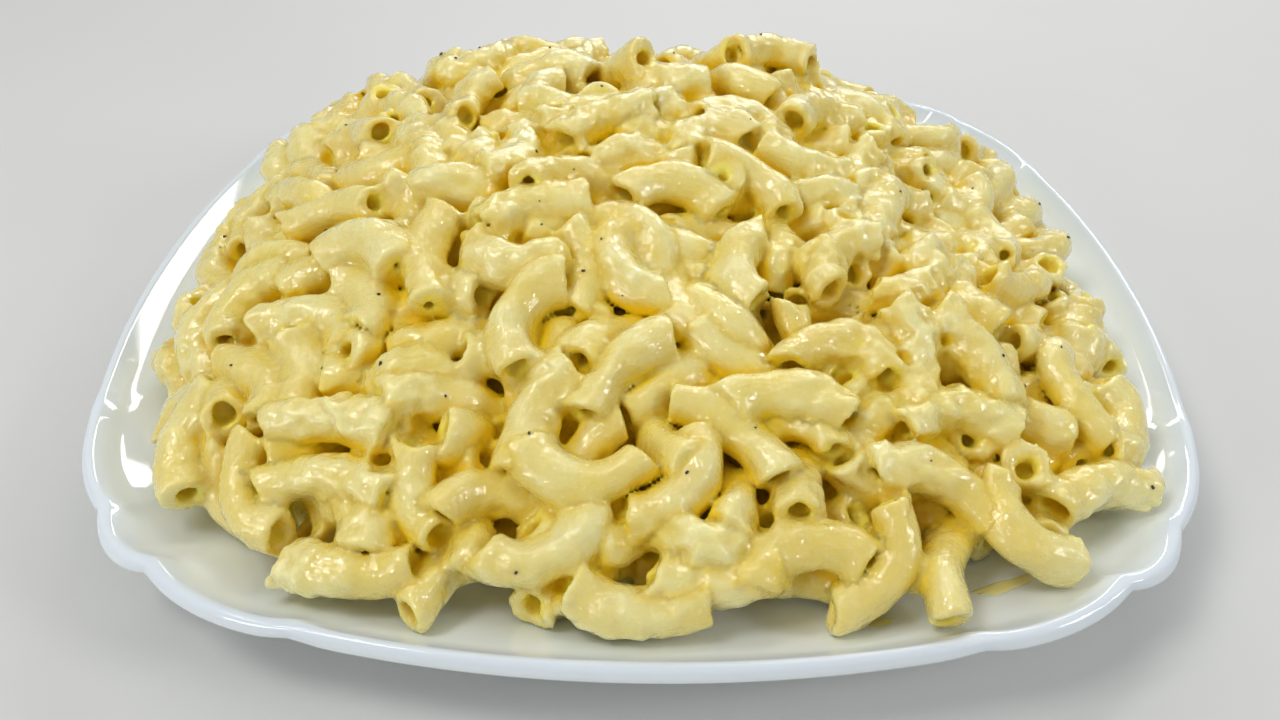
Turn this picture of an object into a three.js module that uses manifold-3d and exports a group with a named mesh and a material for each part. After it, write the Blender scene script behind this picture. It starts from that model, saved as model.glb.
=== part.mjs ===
// A heap of macaroni and cheese on a square plate of white opal glass with scalloped corners.
// Millimetres, +Z up. The origin is at the middle of the plate's foot, and -Y is the front.
import * as THREE from 'three';
import { mergeVertices } from 'three/addons/utils/BufferGeometryUtils.js';
import Module from 'manifold-3d';

const wasm = await Module();
wasm.setup();

// Plate: four bowed sides, and three lobes at each corner, parted by notches in the lip.
const PLATE = {
  sideReach: 125, // centre to the lip, at the middle of a side
  softNotch: { reach: 132.2, fromDiagonal: 18 },
  sharpNotch: { reach: 137.5, fromDiagonal: 4.2 },
  lobeRise: 2.8, // how far an outer lobe bows past its chord
  cornerLobeRise: 3,
  bodyPower: 2.88, // superellipse that the rim follows inside its notches
  height: 20,
  wellFloor: 5.5,
  wellEdge: 0.56, // as a share of the reach
  rimCurve: 2.2,
  glass: 3.6,
  lipRoll: 1.9, // radius of the rounded lip
  footHeight: 1.6,
  footInner: 0.535,
  footOuter: 0.575,
  creaseHeight: 0.9, // ridge that runs in across the rim from each notch
  creaseWidth: 4,
  creaseStart: 0.76,
};

// Heap: half widths of its footprint, and how its top falls away from the middle.
const HEAP = {
  left: 112,
  right: 115,
  front: 112,
  back: 90,
  cornerPower: 2.9,
  height: 63,
  lean: -0.07, // it is higher on the left
  rise: 0.045, // and towards the back
  edgeRise: 8.5, // one elbow lies at the very edge
  frontPower: 1.8,
  frontFall: 0.68,
  backPower: 3.2,
  backFall: 0.85,
  unevenness: 2.2,
};

// Elbow macaroni, cooked: sizes are drawn between these ends.
const ELBOW = {
  radius: [3.9, 4.5],
  length: [19, 27], // along the middle of the tube
  bend: [60, 150], // degrees
  boreShare: 0.48,
  balls: 7, // that stand for it while the heap is laid
  squash: 0.82, // neighbours press into each other
  roll: 85,
  pitch: 35,
};

const LAY = {
  seed: 20261,
  tries: 100,
  most: 900,
  misses: 40, // rounds of tries without a place before it stops
  jitter: 4,
  plateGap: 1,
  cornerReach: 1.12, // a cut end reaches lower than the ball in it
  proud: 2.5,
};
const FILL = {
  tries: 30000,
  touch: 0.57, // how near it may come to the others, as a share of where they would touch
  lift: [-3.5, 2], // how far it stands out of the heap
};

// Elbows that lie on top where they show best, in mm and degrees: x, y, heading, bend (to its left
// where it is positive), how much steeper than the heap it heads down, and how far it stands out.
const ON_TOP = [
  [0, -111, -5, -50, 0, 0],
  [-16, -103, -160, 130, 0, 0],
  [-11, -91, -5, -110, 0, 1],
  [-4, -71, 45, 45, 0, 1],
  [-20, -80, -115, -50, 0, 0],
  [5, -80, 95, 80, 40, 1],
  [7, -92, -125, 115, 0, 0],
  [17, -82, -35, 45, 0, 0],
  [28, -76, 0, 75, 0, 2],
  [31, -86, 70, 60, 35, 0],
  [14, -107, 5, -60, 0, -1],
  [30, -103, 15, 120, 0, 0],
  [43, -103, -125, 110, 10, 1],
  [56, -101, -110, -60, -25, 0],
  [71, -95, -50, -140, 0, 1],
  [89, -82, 25, 50, 0, 0],
  [100, -64, -105, 140, 0, 0],
  [88, -62, -75, -110, 0, 1],
  [68, -60, -60, 55, 0, 1],
  [62, -74, 10, 80, 0, 0],
  [56, -88, -15, 60, 0, 0],
  [-17, -25, 30, 90, 25, 2],
  [-23, -36, 25, 45, 0, 1],
  [-27, -49, -15, -140, 0, 0],
  [-4, -48, -60, -140, 0, 1],
  [-23, -62, -115, -115, 0, 1],
  [-4, -61, 30, 70, 20, -1],
  [21, -65, -25, -45, 10, -1],
  [21, -44, -100, -120, 0, 2],
  [34, -34, 100, 50, 50, 1],
  [42, -40, -125, -115, 0, 2],
  [57, -42, -130, 125, 0, 0],
  [39, -64, 0, 135, 0, 1],
  [55, -63, -90, 90, 0, 0],
  [-69, -27, -10, 45, 0, 1],
  [-68, -56, -15, 110, 10, 0],
  [-58, -44, -20, 110, 0, 1],
  [-44, -48, -90, -50, 0, 1],
  [-38, -74, 15, 50, 30, 0],
  [-77, -68, -50, 95, 0, 0],
  [-59, -80, -5, 50, 0, 1],
  [-58, -90, -5, 60, 0, 0],
  [-72, -91, -65, -110, 0, 0],
  [-89, -76, -90, -70, 0, 0],
  [-51, -105, -5, -45, 0, 0],
  [-38, -101, -80, 100, -30, 0],
  [-26, -93, 15, 95, 25, 1],
  [-10, -5, 35, 45, 0, 1],
  [43, 14, 35, 85, 0, 1],
  [37, -8, 5, -45, 0, 0],
  [6, -25, 5, 100, 0, 0],
  [24, -20, 145, -80, 0, 1],
  [-6, 26, 115, 60, 30, 4],
  [31, 36, 15, 90, 0, 5],
  [17, 38, 100, 60, 20, 4],
];
const PLACED = { radius: 4.2, length: 24.5, proud: 1, feel: 6 }; // feel: how far off it takes the slope

const SHOWN = {
  most: 134,
  sides: 5,
  bendSpan: 60, // degrees of bend for each straight stretch
  boreDepth: 3.2,
  boreView: 14, // a bore is open when nothing lies this close before it
  clearView: 0.12, // least share of the sky
  graze: 0.9, // share of a ball's radius that blocks a view
  climbs: [8, 30, 55],
  skyTurn: 36,
  spacings: [21, 18, 15, 12, 9], // between chosen elbows, in each round of choosing
};
const CORE = {
  look: 6, // how far round each point it reads the elbows' tops
  looks: 12,
  low: 3, // which reading it takes, from the lowest
  under: 3,
  inset: 0.9,
  around: 36,
  rings: 7,
  gap: 1, // to the plate
  least: 3,
};

const degrees = (angle) => (angle * Math.PI) / 180;
const clamp01 = (value) => Math.min(1, Math.max(0, value));

// ---------------------------------------------------------------- plate

const polar = (reach, angle) =>
  new THREE.Vector2(reach * Math.cos(degrees(angle)), reach * Math.sin(degrees(angle)));

function bowedEdge(from, to, rise, steps) {
  const middle = from.clone().add(to).multiplyScalar(0.5);
  const outward = middle.clone().normalize();
  const pull = middle.add(outward.multiplyScalar(2 * rise));
  return new THREE.QuadraticBezierCurve(from, pull, to).getPoints(steps).slice(0, -1);
}

function notchMarks() {
  const { softNotch, sharpNotch } = PLATE;
  const marks = [];
  for (let diagonal = 45; diagonal < 360; diagonal += 90) {
    marks.push(polar(softNotch.reach, diagonal - softNotch.fromDiagonal));
    marks.push(polar(sharpNotch.reach, diagonal - sharpNotch.fromDiagonal));
    marks.push(polar(sharpNotch.reach, diagonal + sharpNotch.fromDiagonal));
    marks.push(polar(softNotch.reach, diagonal + softNotch.fromDiagonal));
  }
  return marks;
}

function plateOutline() {
  const { softNotch, sideReach, lobeRise, cornerLobeRise } = PLATE;
  const sideRise = sideReach - softNotch.reach * Math.cos(degrees(45 - softNotch.fromDiagonal));
  const marks = notchMarks();
  const edges = [
    { rise: lobeRise, steps: 5 },
    { rise: cornerLobeRise, steps: 4 },
    { rise: lobeRise, steps: 5 },
    { rise: sideRise, steps: 10 },
  ];
  return marks.flatMap((mark, i) => {
    const { rise, steps } = edges[i % edges.length];
    return bowedEdge(mark, marks[(i + 1) % marks.length], rise, steps);
  });
}

function superReach(angle, left, right, front, back, power) {
  const c = Math.cos(angle);
  const s = Math.sin(angle);
  const across = Math.abs(c / (c < 0 ? left : right)) ** power;
  const along = Math.abs(s / (s < 0 ? front : back)) ** power;
  return (across + along) ** (-1 / power);
}

const bodyReach = (angle) => {
  const side = PLATE.sideReach;
  return superReach(angle, side, side, side, side, PLATE.bodyPower);
};

function glassTop(share) {
  const { wellEdge, wellFloor, height, lipRoll, rimCurve } = PLATE;
  const climb = clamp01((share - wellEdge) / (1 - wellEdge));
  return wellFloor + (height - 0.3 * lipRoll - wellFloor) * climb ** rimCurve;
}

const plateTopAt = (x, y) => glassTop(Math.hypot(x, y) / bodyReach(Math.atan2(y, x)));

// Rings from the middle of the well, over the lip and under the plate to the foot's recess.
function plateRings() {
  const { sideReach, lipRoll, glass, footInner, footOuter, footHeight, height } = PLATE;
  const roll = lipRoll / sideReach;
  const topShares = [0.56, 0.72, 0.85, 0.94];
  const underShares = [0.9, 0.72];
  return [
    ...topShares.map((share) => ({ share, z: glassTop(share) })),
    { share: 1 - 1.5 * roll, z: height - 0.25 * lipRoll },
    { share: 1 - 0.9 * roll, z: height },
    { share: 1 - 0.2 * roll, z: height - 0.5 * lipRoll },
    { share: 1, z: height - 1.2 * lipRoll },
    { share: 1 - 0.6 * roll, z: height - 2 * lipRoll },
    ...underShares.map((share) => ({ share, z: glassTop(share) - glass })),
    { share: footOuter + 0.01, z: footHeight },
    { share: footOuter, z: 0 },
    { share: footInner, z: 0 },
    { share: footInner - 0.01, z: footHeight },
  ];
}

function plateGeometry() {
  const outline = plateOutline();
  const marks = notchMarks();
  const rings = plateRings();
  const positions = [];
  for (const { share, z } of rings) {
    const inRim = clamp01((share - PLATE.creaseStart) / (1 - PLATE.creaseStart)) ** 2;
    for (const edge of outline) {
      const body = edge.clone().setLength(bodyReach(edge.angle()));
      const point = body.lerp(edge, inRim).multiplyScalar(share);
      const nearest = Math.min(...marks.map((mark) => mark.distanceTo(edge)));
      const crease = PLATE.creaseHeight * inRim * Math.exp(-((nearest / PLATE.creaseWidth) ** 2));
      positions.push(point.x, point.y, Math.min(z + crease, PLATE.height + 0.4 * crease));
    }
  }
  const around = outline.length;
  const middleTop = positions.push(0, 0, glassTop(0)) / 3 - 1;
  const middleUnder = positions.push(0, 0, PLATE.footHeight) / 3 - 1;
  const index = [];
  for (let i = 0; i < around; i++) {
    const next = (i + 1) % around;
    index.push(middleTop, i, next);
    for (let ring = 0; ring < rings.length - 1; ring++) {
      const a = ring * around;
      const b = a + around;
      index.push(a + i, b + i, b + next, a + i, b + next, a + next);
    }
    const last = (rings.length - 1) * around;
    index.push(middleUnder, last + next, last + i);
  }
  return indexedGeometry(positions, index);
}

function indexedGeometry(positions, index) {
  const geometry = new THREE.BufferGeometry();
  geometry.setAttribute('position', new THREE.Float32BufferAttribute(positions, 3));
  geometry.setIndex(index);
  return geometry;
}

// ---------------------------------------------------------------- the form of the heap

const footprintReach = (angle) =>
  superReach(angle, HEAP.left, HEAP.right, HEAP.front, HEAP.back, HEAP.cornerPower);

// Broad hollows and humps, as of spoonfuls.
const spoonfuls = (x, y) =>
  HEAP.unevenness *
  (Math.sin(x / 17 + 0.6) * Math.cos(y / 19 - 0.4) + 0.7 * Math.sin(x / 29 - y / 23 + 2.1));

function heapTopAt(x, y) {
  const angle = Math.atan2(y, x);
  const share = Math.hypot(x, y) / footprintReach(angle);
  if (share >= 1) return plateTopAt(x, y);
  const backward = clamp01(0.5 + 0.65 * Math.sin(angle) * Math.min(1, share * 3));
  const power = THREE.MathUtils.lerp(HEAP.frontPower, HEAP.backPower, backward);
  const fall = THREE.MathUtils.lerp(HEAP.frontFall, HEAP.backFall, backward);
  const edge = plateTopAt(x, y) + HEAP.edgeRise;
  const lift = (1 - share ** power) ** fall;
  const crest = HEAP.height + HEAP.lean * x + HEAP.rise * y + spoonfuls(x, y);
  return edge + (crest - edge) * lift;
}

// ---------------------------------------------------------------- laying the elbows

function seededRandom(seed) {
  let state = seed;
  return (low = 0, high = 1) => {
    state = (state * 48271) % 2147483647;
    return low + ((high - low) * state) / 2147483647;
  };
}

// The arc lies in the elbow's own XY plane, with its middle point near the origin.
function posed(elbow) {
  elbow.bendRadius = elbow.length / elbow.bend;
  elbow.arcShift = elbow.bendRadius * (Math.sin(elbow.bend / 2) / (elbow.bend / 2));
  elbow.turn = turnOf(elbow);
  return elbow;
}

const randomElbow = (random) =>
  posed({
    radius: random(...ELBOW.radius),
    length: random(...ELBOW.length),
    bend: degrees(random(...ELBOW.bend)),
    x: random(-HEAP.left, HEAP.right),
    y: random(-HEAP.front, HEAP.back),
    z: 0,
    heading: random(0, 2 * Math.PI),
    roll: degrees(random(-ELBOW.roll, ELBOW.roll)),
    pitch: degrees(random(-ELBOW.pitch, ELBOW.pitch)),
  });

// Columns of the rotation: heading about Z, then pitch about Y, then roll about X.
function turnOf({ heading, pitch, roll }) {
  const [ch, sh] = [Math.cos(heading), Math.sin(heading)];
  const [cp, sp] = [Math.cos(pitch), Math.sin(pitch)];
  const [cr, sr] = [Math.cos(roll), Math.sin(roll)];
  return [
    [ch * cp, sh * cp, -sp],
    [ch * sp * sr - sh * cr, sh * sp * sr + ch * cr, cp * sr],
    [ch * sp * cr + sh * sr, sh * sp * cr - ch * sr, cp * cr],
  ];
}

// A point of the tube: an angle along the bend, and an offset out from the bend's centre and up.
function elbowPoint(elbow, angle, out = 0, up = 0) {
  const reach = elbow.bendRadius + out;
  const v = reach * Math.cos(angle) - elbow.arcShift;
  const u = reach * Math.sin(angle);
  const [ax, ay, az] = elbow.turn;
  return [
    elbow.x + u * ax[0] + v * ay[0] + up * az[0],
    elbow.y + u * ax[1] + v * ay[1] + up * az[1],
    elbow.z + u * ax[2] + v * ay[2] + up * az[2],
  ];
}

function ballsOf(elbow) {
  const last = elbow.bend / 2 - (0.6 * elbow.radius) / elbow.bendRadius;
  return Array.from({ length: ELBOW.balls }, (_, i) =>
    elbowPoint(elbow, last * ((2 * i) / (ELBOW.balls - 1) - 1)),
  );
}

const plateLift = (radius) => LAY.cornerReach * radius + LAY.plateGap;

// The height at which an elbow's highest part stands out of the heap by a lift.
const heightUnderTop = (elbow, balls, lift) =>
  Math.min(...balls.map(([x, y, z]) => heapTopAt(x, y) + lift - elbow.radius - z));

// An elbow that lies along the slope of the heap, at its top but clear of the plate.
function elbowOnTop([x, y, headingDegrees, bend, dip, lift]) {
  const { radius, length, proud, feel } = PLACED;
  const heading = degrees(headingDegrees);
  const [c, s] = [feel * Math.cos(heading), feel * Math.sin(heading)];
  const climb = (heapTopAt(x + c, y + s) - heapTopAt(x - c, y - s)) / (2 * feel);
  const bank = (heapTopAt(x - s, y + c) - heapTopAt(x + s, y - c)) / (2 * feel);
  const pitch = degrees(dip) - Math.atan(climb);
  const roll = Math.atan(bank * Math.cos(pitch)) + (bend < 0 ? Math.PI : 0);
  const elbow = posed({ radius, length, bend: degrees(Math.abs(bend)), x, y, z: 0, heading, roll, pitch });
  const balls = ballsOf(elbow);
  const overPlate = balls.map(([bx, by, bz]) => plateTopAt(bx, by) + plateLift(radius) - bz);
  elbow.z = Math.max(heightUnderTop(elbow, balls, proud + lift), ...overPlate);
  return elbow;
}

const isInside = (elbow, balls) =>
  balls.every(([x, y]) => Math.hypot(x, y) + elbow.radius < footprintReach(Math.atan2(y, x)));

// How far apart in height a ball and a laid one are when they touch, or null where they pass.
function touchingRise([x, y], radius, other) {
  const touch = ELBOW.squash * (radius + other[3]);
  const flat = (x - other[0]) ** 2 + (y - other[1]) ** 2;
  return flat < touch * touch ? Math.sqrt(touch * touch - flat) : null;
}

// How far down it can sink before it meets the plate or an elbow that lies there.
function restingHeight(elbow, balls, laid) {
  let rest = -Infinity;
  for (const ball of balls) {
    rest = Math.max(rest, plateTopAt(ball[0], ball[1]) + plateLift(elbow.radius) - ball[2]);
    for (const other of laid) {
      const rise = touchingRise(ball, elbow.radius, other);
      if (rise !== null) rest = Math.max(rest, other[2] + rise - ball[2]);
    }
  }
  return rest;
}

const isUnder = (elbow, balls, rest, placed) =>
  balls.every((ball) =>
    placed.every((other) => {
      const rise = touchingRise(ball, elbow.radius, other);
      return rise === null || ball[2] + rest <= other[2] - rise;
    }),
  );

// The elbow of one round of tries that lies lowest within the heap, if any does.
function bestOfRound(random, laid, placed) {
  let best = null;
  for (let attempt = 0; attempt < LAY.tries; attempt++) {
    const elbow = randomElbow(random);
    const fussiness = random(0, LAY.jitter);
    const proud = random(0, LAY.proud);
    const balls = ballsOf(elbow);
    if (!isInside(elbow, balls)) continue;
    const rest = restingHeight(elbow, balls, laid);
    if (balls.some(([x, y, z]) => z + rest + elbow.radius > heapTopAt(x, y) + proud)) continue;
    const score = rest + fussiness;
    if (best && score >= best.score) continue;
    if (isUnder(elbow, balls, rest, placed)) best = { elbow, rest, score };
  }
  return best;
}

// Lays further elbows at the heap's top, wherever they keep clear enough of the others.
function fillGaps(random, elbows, laid) {
  const isClear = (radius, x, y, z) =>
    z > plateTopAt(x, y) + plateLift(radius) &&
    laid.every((other) => {
      const touch = FILL.touch * (radius + other[3]);
      return (x - other[0]) ** 2 + (y - other[1]) ** 2 + (z - other[2]) ** 2 > touch * touch;
    });
  for (let attempt = 0; attempt < FILL.tries; attempt++) {
    const elbow = randomElbow(random);
    const lift = random(...FILL.lift);
    const balls = ballsOf(elbow);
    if (!isInside(elbow, balls)) continue;
    elbow.z = heightUnderTop(elbow, balls, lift);
    if (!balls.every(([x, y, z]) => isClear(elbow.radius, x, y, z + elbow.z))) continue;
    laid.push(...ballsWith(elbow, elbows.length));
    elbows.push(elbow);
  }
}

const ballsWith = (elbow, owner) => ballsOf(elbow).map((ball) => [...ball, elbow.radius, owner]);

function layHeap() {
  const random = seededRandom(LAY.seed);
  const elbows = ON_TOP.map(elbowOnTop);
  const placed = elbows.flatMap(ballsWith);
  const laid = [];
  let misses = 0;
  while (elbows.length < LAY.most && misses < LAY.misses) {
    const best = bestOfRound(random, laid, placed);
    if (!best) {
      misses += 1;
      continue;
    }
    misses = 0;
    best.elbow.z = best.rest;
    laid.push(...ballsWith(best.elbow, elbows.length));
    elbows.push(best.elbow);
  }
  laid.push(...placed);
  fillGaps(random, elbows, laid);
  return { elbows, laid };
}

// ---------------------------------------------------------------- the elbows that show

function skyDirections() {
  const directions = [new THREE.Vector3(0, 0, 1)];
  for (const climb of SHOWN.climbs) {
    for (let turn = 0; turn < 360; turn += SHOWN.skyTurn) {
      const flat = Math.cos(degrees(climb));
      const [c, s] = [Math.cos(degrees(turn + climb)), Math.sin(degrees(turn + climb))];
      directions.push(new THREE.Vector3(flat * c, flat * s, Math.sin(degrees(climb))));
    }
  }
  return directions;
}

// Whether another elbow's ball lies in the way, within a reach.
function isBlocked([x, y, z], way, laid, owner, within = Infinity) {
  for (const ball of laid) {
    if (ball[4] === owner) continue;
    const dx = ball[0] - x;
    const dy = ball[1] - y;
    const dz = ball[2] - z;
    const along = dx * way.x + dy * way.y + dz * way.z;
    if (along <= 0 || along > within) continue;
    if (dx * dx + dy * dy + dz * dz - along * along < (SHOWN.graze * ball[3]) ** 2) return true;
  }
  return false;
}

// The share of the sky that each elbow sees past the others.
function clearViews({ elbows, laid }) {
  const sky = skyDirections();
  const open = elbows.map(() => 0);
  for (const ball of laid) {
    const clear = sky.filter((way) => !isBlocked(ball, way, laid, ball[4])).length;
    open[ball[4]] += clear / (ELBOW.balls * sky.length);
  }
  return open;
}

function elbowsThatShow(heap) {
  const open = clearViews(heap);
  const order = heap.elbows.map((_, i) => i).filter((i) => open[i] > SHOWN.clearView);
  order.sort((a, b) => open[b] - open[a]);
  const chosen = heap.elbows.slice(0, ON_TOP.length);
  const distance = (a, b) => Math.hypot(a.x - b.x, a.y - b.y, a.z - b.z);
  for (const spacing of SHOWN.spacings) {
    for (const i of order) {
      const elbow = heap.elbows[i];
      if (chosen.length >= SHOWN.most || chosen.includes(elbow)) continue;
      if (chosen.every((other) => distance(other, elbow) > spacing)) chosen.push(elbow);
    }
  }
  return chosen;
}

function endIsOpen(elbow, end, heap) {
  const angle = (end * elbow.bend) / 2;
  const mouth = new THREE.Vector3(...elbowPoint(elbow, angle));
  const back = new THREE.Vector3(...elbowPoint(elbow, angle - (end * 0.1) / elbow.bendRadius));
  const way = mouth.clone().sub(back).normalize();
  return !isBlocked(mouth.toArray(), way, heap.laid, heap.elbows.indexOf(elbow), SHOWN.boreView);
}

// A bent tube with square ends, each open one with a blind bore.
function elbowGeometry(elbow, heap) {
  const half = elbow.bend / 2;
  const bore = elbow.radius * ELBOW.boreShare;
  const inset = SHOWN.boreDepth / elbow.bendRadius;
  const spans = Math.max(2, Math.round(elbow.bend / degrees(SHOWN.bendSpan)));
  const rings = [];
  for (let i = 0; i <= spans; i++) {
    rings.push({ angle: -half + (elbow.bend * i) / spans, radius: elbow.radius });
  }
  if (endIsOpen(elbow, -1, heap)) {
    rings.unshift({ angle: -half + inset, radius: bore }, { angle: -half, radius: bore });
  }
  if (endIsOpen(elbow, 1, heap)) {
    rings.push({ angle: half, radius: bore }, { angle: half - inset, radius: bore });
  }
  const positions = [];
  for (const { angle, radius } of rings) {
    for (let side = 0; side < SHOWN.sides; side++) {
      const around = (2 * Math.PI * side) / SHOWN.sides;
      positions.push(...elbowPoint(elbow, angle, radius * Math.cos(around), radius * Math.sin(around)));
    }
  }
  const index = [];
  const last = (rings.length - 1) * SHOWN.sides;
  for (let side = 0; side < SHOWN.sides; side++) {
    const next = (side + 1) % SHOWN.sides;
    for (let ring = 0; ring < rings.length - 1; ring++) {
      const a = ring * SHOWN.sides;
      const b = a + SHOWN.sides;
      index.push(a + side, a + next, b + next, a + side, b + next, b + side);
    }
    if (side > 0 && side < SHOWN.sides - 1) {
      index.push(0, side + 1, side);
      index.push(last, last + side, last + side + 1);
    }
  }
  return indexedGeometry(positions, index);
}

// ---------------------------------------------------------------- the core

// The top of whatever lies over a point.
function laidTopAt(x, y, laid) {
  let top = 0;
  for (const [bx, by, bz, radius] of laid) {
    const flat = (bx - x) ** 2 + (by - y) ** 2;
    if (flat < radius * radius) top = Math.max(top, bz + Math.sqrt(radius * radius - flat));
  }
  return top;
}

// A low reading of the elbows' tops round a point, so that the core stays under them.
function coreCrownAt(x, y, laid) {
  const { look, looks, low, under } = CORE;
  const tops = Array.from({ length: looks }, (_, i) => {
    const angle = (2 * Math.PI * i) / looks;
    return laidTopAt(x + look * Math.cos(angle), y + look * Math.sin(angle), laid);
  });
  tops.sort((a, b) => a - b);
  return tops[low] - under;
}

function coreGeometry({ laid }) {
  const { around, rings, inset, gap, least } = CORE;
  const positions = [];
  const put = (share, angle, top) => {
    const reach = inset * footprintReach(angle) * share;
    const [x, y] = [reach * Math.cos(angle), reach * Math.sin(angle)];
    const floor = plateTopAt(x, y) + gap;
    positions.push(x, y, top ? Math.max(floor + least, coreCrownAt(x, y, laid)) : floor);
  };
  const shares = Array.from({ length: rings }, (_, i) => Math.sin((Math.PI / 2) * ((i + 1) / rings)));
  const floorShares = shares.slice().reverse();
  const turns = Array.from({ length: around }, (_, i) => (2 * Math.PI * i) / around);
  for (const share of shares) turns.forEach((angle) => put(share, angle, true));
  for (const share of floorShares) turns.forEach((angle) => put(share, angle, false));
  const middleTop = positions.push(0, 0, coreCrownAt(0, 0, laid)) / 3 - 1;
  const middleFloor = positions.push(0, 0, plateTopAt(0, 0) + gap) / 3 - 1;
  const index = [];
  const loops = shares.length + floorShares.length;
  for (let i = 0; i < around; i++) {
    const next = (i + 1) % around;
    index.push(middleTop, i, next);
    for (let loop = 0; loop < loops - 1; loop++) {
      const a = loop * around;
      const b = a + around;
      index.push(a + i, b + i, b + next, a + i, b + next, a + next);
    }
    const last = (loops - 1) * around;
    index.push(middleFloor, last + next, last + i);
  }
  return indexedGeometry(positions, index);
}

// ---------------------------------------------------------------- fusing

function solidOf(geometry) {
  const merged = mergeVertices(geometry, 1e-4);
  return new wasm.Manifold(
    new wasm.Mesh({
      numProp: 3,
      vertProperties: merged.attributes.position.array,
      triVerts: Uint32Array.from(merged.index.array),
    }),
  );
}

function geometryOf(solid) {
  const mesh = solid.getMesh();
  return indexedGeometry(Array.from(mesh.vertProperties), Array.from(mesh.triVerts));
}

// The outer skin of the largest body: loose scraps are dropped and sealed hollows filled.
function largestSkin(solid) {
  const bodies = solid.decompose();
  bodies.sort((a, b) => b.volume() - a.volume());
  return bodies[0];
}

function heapGeometry() {
  const heap = layHeap();
  let fused = solidOf(coreGeometry(heap));
  for (const elbow of elbowsThatShow(heap)) fused = fused.add(solidOf(elbowGeometry(elbow, heap)));
  return geometryOf(largestSkin(fused));
}

// ---------------------------------------------------------------- the model

function namedMesh(name, geometry, { color, roughness, metalness = 0 }) {
  const mesh = new THREE.Mesh(geometry, new THREE.MeshStandardMaterial({ color, roughness, metalness }));
  mesh.name = name;
  return mesh;
}

const macAndCheese = new THREE.Group();
macAndCheese.add(namedMesh('plate', plateGeometry(), { color: 0xeff1ee, roughness: 0.08 }));
macAndCheese.add(namedMesh('macaroni_heap', heapGeometry(), { color: 0xe8d27c, roughness: 0.35 }));

export default macAndCheese;
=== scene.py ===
"""A heap of macaroni and cheese on a square plate of white opal glass.

Sizes are millimetres until a mesh is made, which is in metres. +Z is up and -Y is the front.
The heap is laid by the same rule as its CAD solid, so every elbow lies where the solid has it.
"""
import math

import bpy
import numpy as np
from mathutils import Matrix, Vector


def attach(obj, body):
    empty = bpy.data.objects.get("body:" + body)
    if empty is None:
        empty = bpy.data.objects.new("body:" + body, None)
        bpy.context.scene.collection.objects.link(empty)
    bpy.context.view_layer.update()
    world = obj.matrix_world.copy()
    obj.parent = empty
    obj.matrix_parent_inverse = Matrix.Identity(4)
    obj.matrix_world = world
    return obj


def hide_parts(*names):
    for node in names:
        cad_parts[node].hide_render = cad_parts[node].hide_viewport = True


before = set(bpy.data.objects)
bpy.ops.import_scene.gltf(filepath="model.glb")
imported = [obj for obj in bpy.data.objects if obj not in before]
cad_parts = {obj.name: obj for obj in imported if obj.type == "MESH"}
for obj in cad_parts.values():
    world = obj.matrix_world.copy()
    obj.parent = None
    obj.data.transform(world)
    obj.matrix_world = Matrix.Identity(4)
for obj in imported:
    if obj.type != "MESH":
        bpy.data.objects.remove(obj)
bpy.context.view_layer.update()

MM = 0.001

# ---- sizes that the CAD has too

PLATE = dict(
    side_reach=125.0,
    soft_notch=dict(reach=132.2, from_diagonal=18.0),
    sharp_notch=dict(reach=137.5, from_diagonal=4.2),
    lobe_rise=2.8, corner_lobe_rise=3.0, body_power=2.88, height=20.0,
    well_floor=5.5, well_edge=0.56, rim_curve=2.2, glass=3.6, lip_roll=1.9,
    lip_join=0.3,  # how far below its crest the lip's roll begins, as a share of the roll
    foot_height=1.6, foot_inner=0.535, foot_outer=0.575,
    foot_flare=0.01, foot_round=(0.003, 0.3),  # the flare and its width are shares of the reach
    crease_height=0.9, crease_width=4.0, crease_start=0.76,
    crease_over_lip=0.4,  # how much of a crease stands above the lip
)
HEAP = dict(
    left=112.0, right=115.0, front=112.0, back=90.0, corner_power=2.9,
    height=63.0, lean=-0.07, rise=0.045, edge_rise=8.5,
    front_power=1.8, front_fall=0.68, back_power=3.2, back_fall=0.85,
    unevenness=2.2,
    turn=0.65,  # how fast the front's form turns into the back's, from side to side
    turn_reach=3.0,  # it does so in full from 1 / 3 of the way out
)
ELBOW = dict(
    radius=(3.9, 4.5), length=(19.0, 27.0), bend=(60.0, 150.0), roll=85.0, pitch=35.0,
    balls=7,
    ball_inset=0.6,  # of the end balls from the cut ends, as a share of the radius
    squash=0.82,
)
LAY = dict(
    seed=20261, tries=100, most=900, misses=40,
    jitter=4.0, plate_gap=1.0, corner_reach=1.12, proud=2.5,
)
FILL = dict(
    tries=30000,
    touch=0.57,  # how near it may come to the others, as a share of where they would touch
    lift=(-3.5, 2.0),  # how far it stands out of the heap
)
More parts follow.
